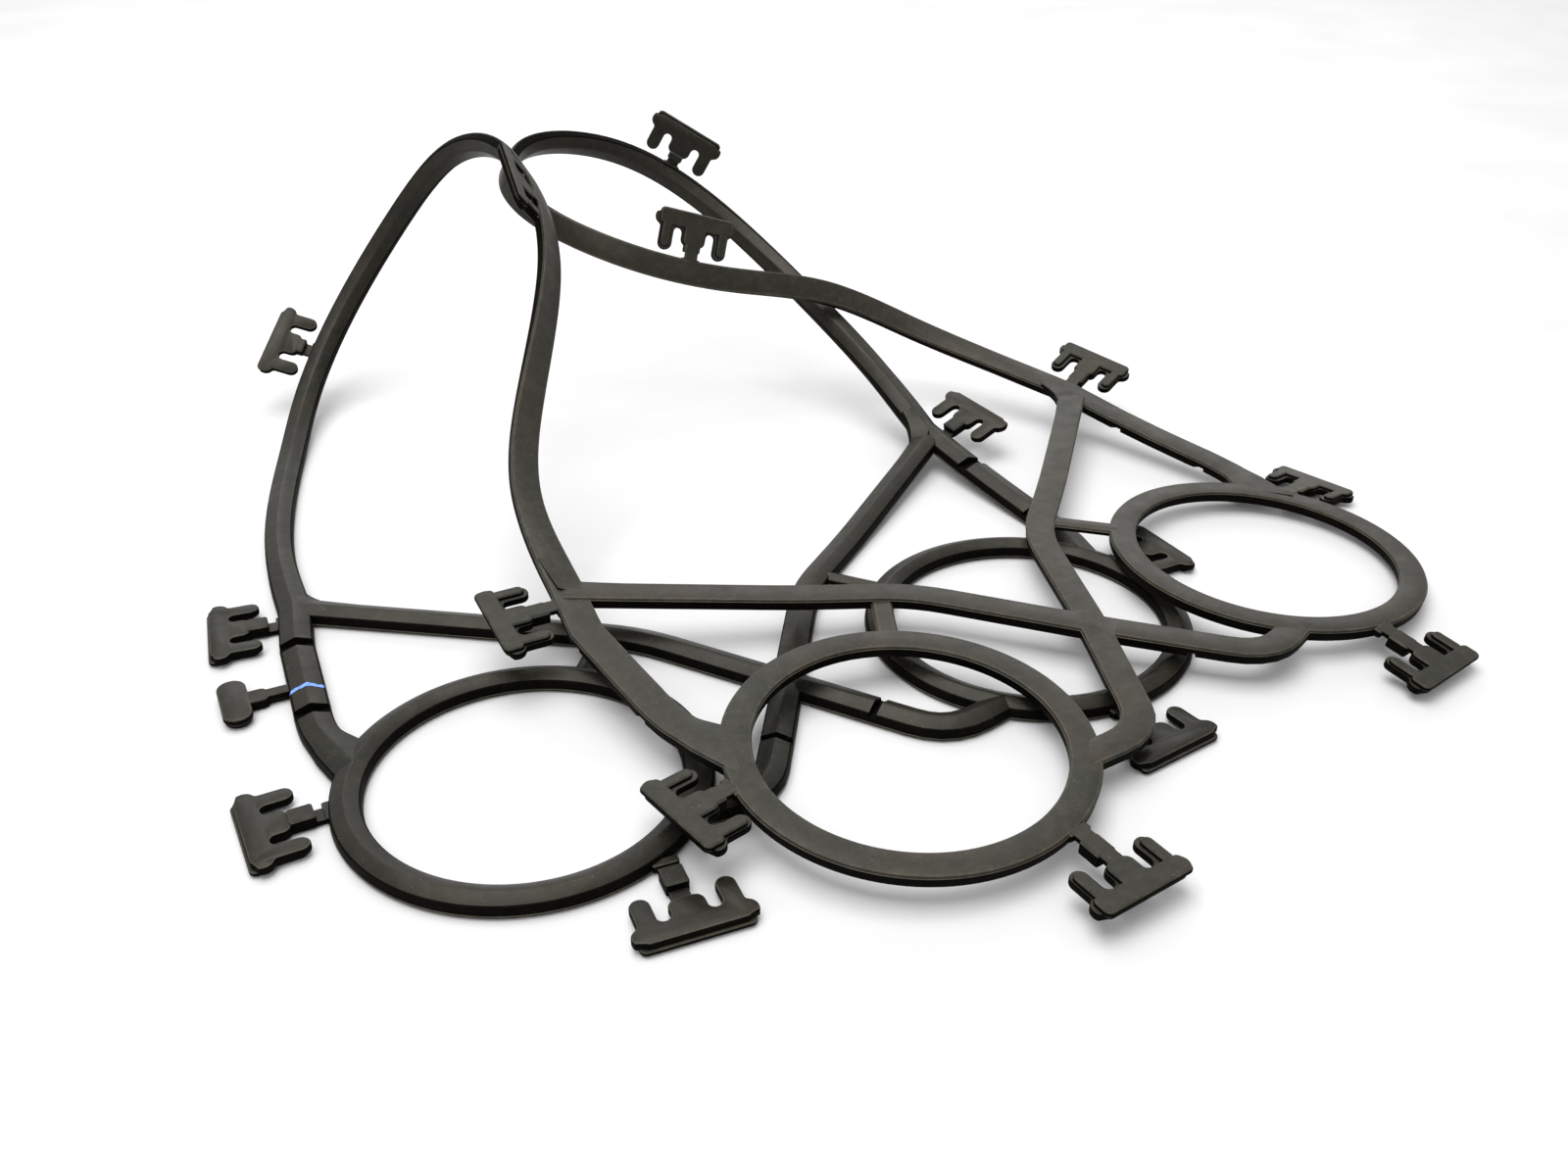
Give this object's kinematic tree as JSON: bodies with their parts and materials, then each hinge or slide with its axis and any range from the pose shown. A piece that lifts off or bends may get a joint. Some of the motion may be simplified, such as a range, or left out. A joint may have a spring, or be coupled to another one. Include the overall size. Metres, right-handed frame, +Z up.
{
  "type": "plate heat exchanger gasket",
  "caption": "Black rubber plate gasket with port rings joined by crossing strands, long side rails and clip-on edge tabs, folded in half; the rails bend open until it lies flat.",
  "frame": {"origin": "centre of the lower left port ring, on the flat face that lies on the table", "axes": "+X to the lower right port ring, +Y along the lower end towards the rails, +Z up"},
  "size_m": [0.3314, 0.3534, 0.0961],
  "materials": {
    "rubber": "matte moulded rubber, faint sheen on the flat faces",
    "paint": "thin blue paint mark"
  },
  "bodies": {
    "lower_end": {"lower_ring_left": "rubber", "lower_ring_right": "rubber", "lower_bar_left": "rubber", "lower_bar_right": "rubber", "lower_strand_left": "rubber", "lower_strand_right": "rubber", "lower_crossing": "rubber", "lower_link_left": "rubber", "lower_link_right": "rubber", "lower_paint_mark": "paint"},
    "upper_end": {"upper_ring_left": "rubber", "upper_ring_right": "rubber", "upper_bar_left": "rubber", "upper_bar_right": "rubber", "upper_strand_left": "rubber", "upper_strand_right": "rubber", "upper_crossing": "rubber", "upper_link_left": "rubber", "upper_link_right": "rubber"},
    "rail_left_1": {"rail_left_1": "rubber"},
    "rail_left_2": {"rail_left_2": "rubber"},
    "rail_left_3": {"rail_left_3": "rubber"},
    "rail_left_4": {"rail_left_4": "rubber"},
    "rail_left_5": {"rail_left_5": "rubber"},
    "rail_left_6": {"rail_left_6": "rubber"},
    "rail_left_7": {"rail_left_7": "rubber"},
    "rail_left_8": {"rail_left_8": "rubber"},
    "rail_left_9": {"rail_left_9": "rubber"},
    "rail_right_1": {"rail_right_1": "rubber"},
    "rail_right_2": {"rail_right_2": "rubber"},
    "rail_right_3": {"rail_right_3": "rubber"},
    "rail_right_4": {"rail_right_4": "rubber"},
    "rail_right_5": {"rail_right_5": "rubber"},
    "rail_right_6": {"rail_right_6": "rubber"},
    "rail_right_7": {"rail_right_7": "rubber"},
    "rail_right_8": {"rail_right_8": "rubber"},
    "rail_right_9": {"rail_right_9": "rubber"},
    "rail_right_10": {"rail_right_10": "rubber"},
    "lower_clip_side_left": {"lower_clip_side_left": "rubber"},
    "lower_clip_end_left": {"lower_clip_end_left": "rubber"},
    "lower_clip_end_right": {"lower_clip_end_right": "rubber"},
    "lower_clip_side_right": {"lower_clip_side_right": "rubber"},
    "lower_clip_bar_left": {"lower_clip_bar_left": "rubber"},
    "lower_clip_bar_right": {"lower_clip_bar_right": "rubber"},
    "lower_tee_tab": {"lower_tee_tab": "rubber"},
    "upper_clip_side_left": {"upper_clip_side_left": "rubber"},
    "upper_clip_end_left": {"upper_clip_end_left": "rubber"},
    "upper_clip_end_right": {"upper_clip_end_right": "rubber"},
    "upper_clip_side_right": {"upper_clip_side_right": "rubber"},
    "upper_clip_bar_left": {"upper_clip_bar_left": "rubber"},
    "upper_clip_bar_right": {"upper_clip_bar_right": "rubber"},
    "rail_left_clip_1": {"rail_left_clip_1": "rubber"},
    "rail_left_clip_2": {"rail_left_clip_2": "rubber"},
    "rail_right_clip_1": {"rail_right_clip_1": "rubber"},
    "rail_right_clip_2": {"rail_right_clip_2": "rubber"}
  },
  "joints": [
    {"name": "left_bend_1", "type": "hinge", "parent": "lower_end", "child": "rail_left_1", "pos_m": [-0.03026, 0.11098, 0.0025], "axis": [-0.0029, -0.0921, 0.9957], "range_deg": [-0.5, 14], "stiffness_Nm_per_rad": 0.08},
    {"name": "left_bend_2", "type": "hinge", "parent": "rail_left_1", "child": "rail_left_2", "pos_m": [-0.01572, 0.18027, 0.00244], "axis": [-0.822, -0.1035, 0.5601], "range_deg": [-0.5, 17], "stiffness_Nm_per_rad": 0.08},
    {"name": "left_bend_3", "type": "hinge", "parent": "rail_left_2", "child": "rail_left_3", "pos_m": [0.00455, 0.22733, 0.01343], "axis": [-0.8333, 0.0436, 0.5511], "range_deg": [-0.5, 38], "stiffness_Nm_per_rad": 0.08},
    {"name": "left_bend_4", "type": "hinge", "parent": "rail_left_3", "child": "rail_left_4", "pos_m": [0.02688, 0.24596, 0.03542], "axis": [-0.8624, 0.1184, 0.4923], "range_deg": [-0.5, 33], "stiffness_Nm_per_rad": 0.08},
    {"name": "left_bend_5", "type": "hinge", "parent": "rail_left_4", "child": "rail_left_5", "pos_m": [0.04767, 0.24592, 0.06059], "axis": [-0.8751, 0.1746, 0.4514], "range_deg": [-0.5, 30], "stiffness_Nm_per_rad": 0.08},
    {"name": "left_bend_6", "type": "hinge", "parent": "rail_left_5", "child": "rail_left_6", "pos_m": [0.06166, 0.23322, 0.07945], "axis": [-0.92, -0.0987, 0.3793], "range_deg": [-0.5, 39], "stiffness_Nm_per_rad": 0.08},
    {"name": "left_bend_7", "type": "hinge", "parent": "rail_left_6", "child": "rail_left_7", "pos_m": [0.07153, 0.20968, 0.08634], "axis": [-0.8593, -0.0109, 0.5113], "range_deg": [0, 45.5], "stiffness_Nm_per_rad": 0.08},
    {"name": "left_bend_8", "type": "hinge", "parent": "rail_left_7", "child": "rail_left_8", "pos_m": [0.07113, 0.1655, 0.06971], "axis": [0.0265, 0.2365, 0.9713], "range_deg": [-0.5, 35], "stiffness_Nm_per_rad": 0.08},
    {"name": "left_bend_9", "type": "hinge", "parent": "rail_left_8", "child": "rail_left_9", "pos_m": [0.03456, 0.09256, 0.03218], "axis": [0.3809, 0.8794, -0.2856], "range_deg": [-0.5, 31], "stiffness_Nm_per_rad": 0.08},
    {"name": "left_bend_10", "type": "hinge", "parent": "rail_left_9", "child": "upper_end", "pos_m": [0.02978, 0.06451, 0.02027], "axis": [0.659, 0.5473, -0.5159], "range_deg": [-0.5, 35], "stiffness_Nm_per_rad": 0.08},
    {"name": "right_bend_1", "type": "hinge", "parent": "lower_end", "child": "rail_right_1", "pos_m": [0.17236, 0.11556, 0.01351], "axis": [-0.612, 0.7861, -0.0866], "range_deg": [-0.5, 36], "stiffness_Nm_per_rad": 0.02},
    {"name": "right_bend_2", "type": "hinge", "parent": "rail_right_1", "child": "rail_right_2", "pos_m": [0.16104, 0.19028, 0.04217], "axis": [-0.6034, 0.7621, -0.2347], "range_deg": [-0.5, 34], "stiffness_Nm_per_rad": 0.02},
    {"name": "right_bend_4", "type": "hinge", "parent": "rail_right_4", "child": "rail_right_3", "pos_m": [0.11923, 0.23071, 0.07565], "axis": [0.478, -0.5746, 0.6643], "range_deg": [-0.5, 38], "stiffness_Nm_per_rad": 0.02},
    {"name": "right_bend_5", "type": "hinge", "parent": "rail_right_5", "child": "rail_right_4", "pos_m": [0.09049, 0.2273, 0.08096], "axis": [0.3616, -0.3104, 0.8792], "range_deg": [-0.5, 54], "stiffness_Nm_per_rad": 0.02},
    {"name": "right_bend_6", "type": "hinge", "parent": "rail_right_6", "child": "rail_right_5", "pos_m": [0.07513, 0.20723, 0.07554], "axis": [0.1531, -0.2153, 0.9645], "range_deg": [-0.5, 56], "stiffness_Nm_per_rad": 0.02},
    {"name": "right_bend_7", "type": "hinge", "parent": "rail_right_7", "child": "rail_right_6", "pos_m": [0.08078, 0.18812, 0.0674], "axis": [0.0085, -0.1127, 0.9936], "range_deg": [-0.5, 32], "stiffness_Nm_per_rad": 0.02},
    {"name": "right_bend_8", "type": "hinge", "parent": "rail_right_8", "child": "rail_right_7", "pos_m": [0.10045, 0.1711, 0.05758], "axis": [-0.2073, -0.0945, 0.9737], "range_deg": [-0.5, 40], "stiffness_Nm_per_rad": 0.02},
    {"name": "right_bend_9", "type": "hinge", "parent": "rail_right_9", "child": "rail_right_8", "pos_m": [0.17318, 0.15741, 0.03492], "axis": [-0.6825, 0.4926, -0.5398], "range_deg": [-0.5, 40], "stiffness_Nm_per_rad": 0.02},
    {"name": "right_bend_10", "type": "hinge", "parent": "rail_right_10", "child": "rail_right_9", "pos_m": [0.20965, 0.13004, 0.01714], "axis": [-0.7346, 0.1575, -0.66], "range_deg": [-0.5, 32], "stiffness_Nm_per_rad": 0.02},
    {"name": "right_bend_11", "type": "hinge", "parent": "upper_end", "child": "rail_right_10", "pos_m": [0.22073, 0.10913, 0.01342], "axis": [-0.5967, 0.4429, -0.6692], "range_deg": [-0.5, 23], "stiffness_Nm_per_rad": 0.02},
    {"name": "lower_clip_side_left_flex", "type": "hinge", "parent": "lower_end", "child": "lower_clip_side_left", "pos_m": [-0.0443, 0.0094, 0.0015], "axis": [0, -1, 0], "range_deg": [-35, 35], "stiffness_Nm_per_rad": 0.01},
    {"name": "lower_clip_end_left_flex", "type": "hinge", "parent": "lower_end", "child": "lower_clip_end_left", "pos_m": [0.0164, -0.0429, 0.0015], "axis": [0.9948, -0.1023, 0], "range_deg": [-15, 35], "stiffness_Nm_per_rad": 0.01},
    {"name": "lower_clip_end_right_flex", "type": "hinge", "parent": "lower_end", "child": "lower_clip_end_right", "pos_m": [0.1365, -0.0452, 0.0015], "axis": [0.9944, 0.1061, 0], "range_deg": [-3, 35], "stiffness_Nm_per_rad": 0.01},
    {"name": "lower_clip_side_right_flex", "type": "hinge", "parent": "lower_end", "child": "lower_clip_side_right", "pos_m": [0.1833, 0.014, 0.0015], "axis": [0, 1, 0], "range_deg": [-1, 35], "stiffness_Nm_per_rad": 0.01},
    {"name": "lower_clip_bar_left_flex", "type": "hinge", "parent": "lower_end", "child": "lower_clip_bar_left", "pos_m": [-0.0381, 0.0919, 0.0016], "axis": [-0.1382, -0.9904, 0], "range_deg": [-35, 35], "stiffness_Nm_per_rad": 0.01},
    {"name": "lower_clip_bar_right_flex", "type": "hinge", "parent": "lower_end", "child": "lower_clip_bar_right", "pos_m": [0.1795, 0.0982, 0.0072], "axis": [-0.1753, 0.9796, 0.0981], "range_deg": [-35, 35], "stiffness_Nm_per_rad": 0.01},
    {"name": "lower_tee_tab_flex", "type": "hinge", "parent": "lower_end", "child": "lower_tee_tab", "pos_m": [-0.0422, 0.06, 0.0015], "axis": [-0.037, -0.9993, 0], "range_deg": [-35, 35], "stiffness_Nm_per_rad": 0.01},
    {"name": "upper_clip_side_left_flex", "type": "hinge", "parent": "upper_end", "child": "upper_clip_side_left", "pos_m": [0.03313, -0.0348, 0.0093], "axis": [-0.212, 0.9762, 0.045], "range_deg": [-8, 35], "stiffness_Nm_per_rad": 0.01},
    {"name": "upper_clip_end_left_flex", "type": "hinge", "parent": "upper_end", "child": "upper_clip_end_left", "pos_m": [0.09506, -0.0806, 0.0067], "axis": [-0.9941, -0.1084, 0], "range_deg": [-35, 35], "stiffness_Nm_per_rad": 0.01},
    {"name": "upper_clip_end_right_flex", "type": "hinge", "parent": "upper_end", "child": "upper_clip_end_right", "pos_m": [0.21402, -0.05447, 0.0059], "axis": [-0.9837, -0.1799, 0], "range_deg": [-35, 35], "stiffness_Nm_per_rad": 0.01},
    {"name": "upper_clip_side_right_flex", "type": "hinge", "parent": "upper_end", "child": "upper_clip_side_right", "pos_m": [0.25253, 0.01795, 0.0041], "axis": [0.257, -0.9664, 0], "range_deg": [-35, 35], "stiffness_Nm_per_rad": 0.01},
    {"name": "upper_clip_bar_left_flex", "type": "hinge", "parent": "upper_end", "child": "upper_clip_bar_left", "pos_m": [0.02342, 0.04434, 0.015], "axis": [-0.0017, 0.992, 0.1261], "range_deg": [-26, 35], "stiffness_Nm_per_rad": 0.01},
    {"name": "upper_clip_bar_right_flex", "type": "hinge", "parent": "upper_end", "child": "upper_clip_bar_right", "pos_m": [0.23163, 0.10009, 0.0134], "axis": [0.3698, -0.9182, -0.142], "range_deg": [-35, 35], "stiffness_Nm_per_rad": 0.01},
    {"name": "rail_left_clip_1_flex", "type": "hinge", "parent": "rail_left_3", "child": "rail_left_clip_1", "pos_m": [0.00577, 0.23792, 0.01945], "axis": [-0.577, -0.6147, -0.5378], "range_deg": [-35, 35], "stiffness_Nm_per_rad": 0.01},
    {"name": "rail_left_clip_2_flex", "type": "hinge", "parent": "rail_left_7", "child": "rail_left_clip_2", "pos_m": [0.07069, 0.17483, 0.08029], "axis": [0.1096, 0.8882, 0.4462], "range_deg": [-35, 35], "stiffness_Nm_per_rad": 0.01},
    {"name": "rail_right_clip_1_flex", "type": "hinge", "parent": "rail_right_3", "child": "rail_right_clip_1", "pos_m": [0.14062, 0.22314, 0.071], "axis": [-0.7206, 0.4777, 0.5025], "range_deg": [-35, 35], "stiffness_Nm_per_rad": 0.01},
    {"name": "rail_right_clip_2_flex", "type": "hinge", "parent": "rail_right_8", "child": "rail_right_clip_2", "pos_m": [0.12003, 0.16519, 0.05648], "axis": [0.9261, -0.2274, -0.3009], "range_deg": [-35, 35], "stiffness_Nm_per_rad": 0.01}
  ],
  "couplings": [
    {"joint": "left_bend_1", "follows": "left_bend_7", "ratio": 0.2836},
    {"joint": "left_bend_2", "follows": "left_bend_7", "ratio": 0.3348},
    {"joint": "left_bend_3", "follows": "left_bend_7", "ratio": 0.8049},
    {"joint": "left_bend_4", "follows": "left_bend_7", "ratio": 0.6955},
    {"joint": "left_bend_5", "follows": "left_bend_7", "ratio": 0.6335},
    {"joint": "left_bend_6", "follows": "left_bend_7", "ratio": 0.8329},
    {"joint": "left_bend_8", "follows": "left_bend_7", "ratio": 0.74},
    {"joint": "left_bend_9", "follows": "left_bend_7", "ratio": 0.65},
    {"joint": "left_bend_10", "follows": "left_bend_7", "ratio": 0.7341},
    {"joint": "right_bend_1", "follows": "left_bend_7", "ratio": 0.7656},
    {"joint": "right_bend_2", "follows": "left_bend_7", "ratio": 0.7187},
    {"joint": "right_bend_4", "follows": "left_bend_7", "ratio": 0.8116},
    {"joint": "right_bend_5", "follows": "left_bend_7", "ratio": 1.1515},
    {"joint": "right_bend_6", "follows": "left_bend_7", "ratio": 1.1945},
    {"joint": "right_bend_7", "follows": "left_bend_7", "ratio": 0.668},
    {"joint": "right_bend_8", "follows": "left_bend_7", "ratio": 0.8438},
    {"joint": "right_bend_9", "follows": "left_bend_7", "ratio": 0.8526},
    {"joint": "right_bend_10", "follows": "left_bend_7", "ratio": 0.6653},
    {"joint": "right_bend_11", "follows": "left_bend_7", "ratio": 0.4644}
  ]
}
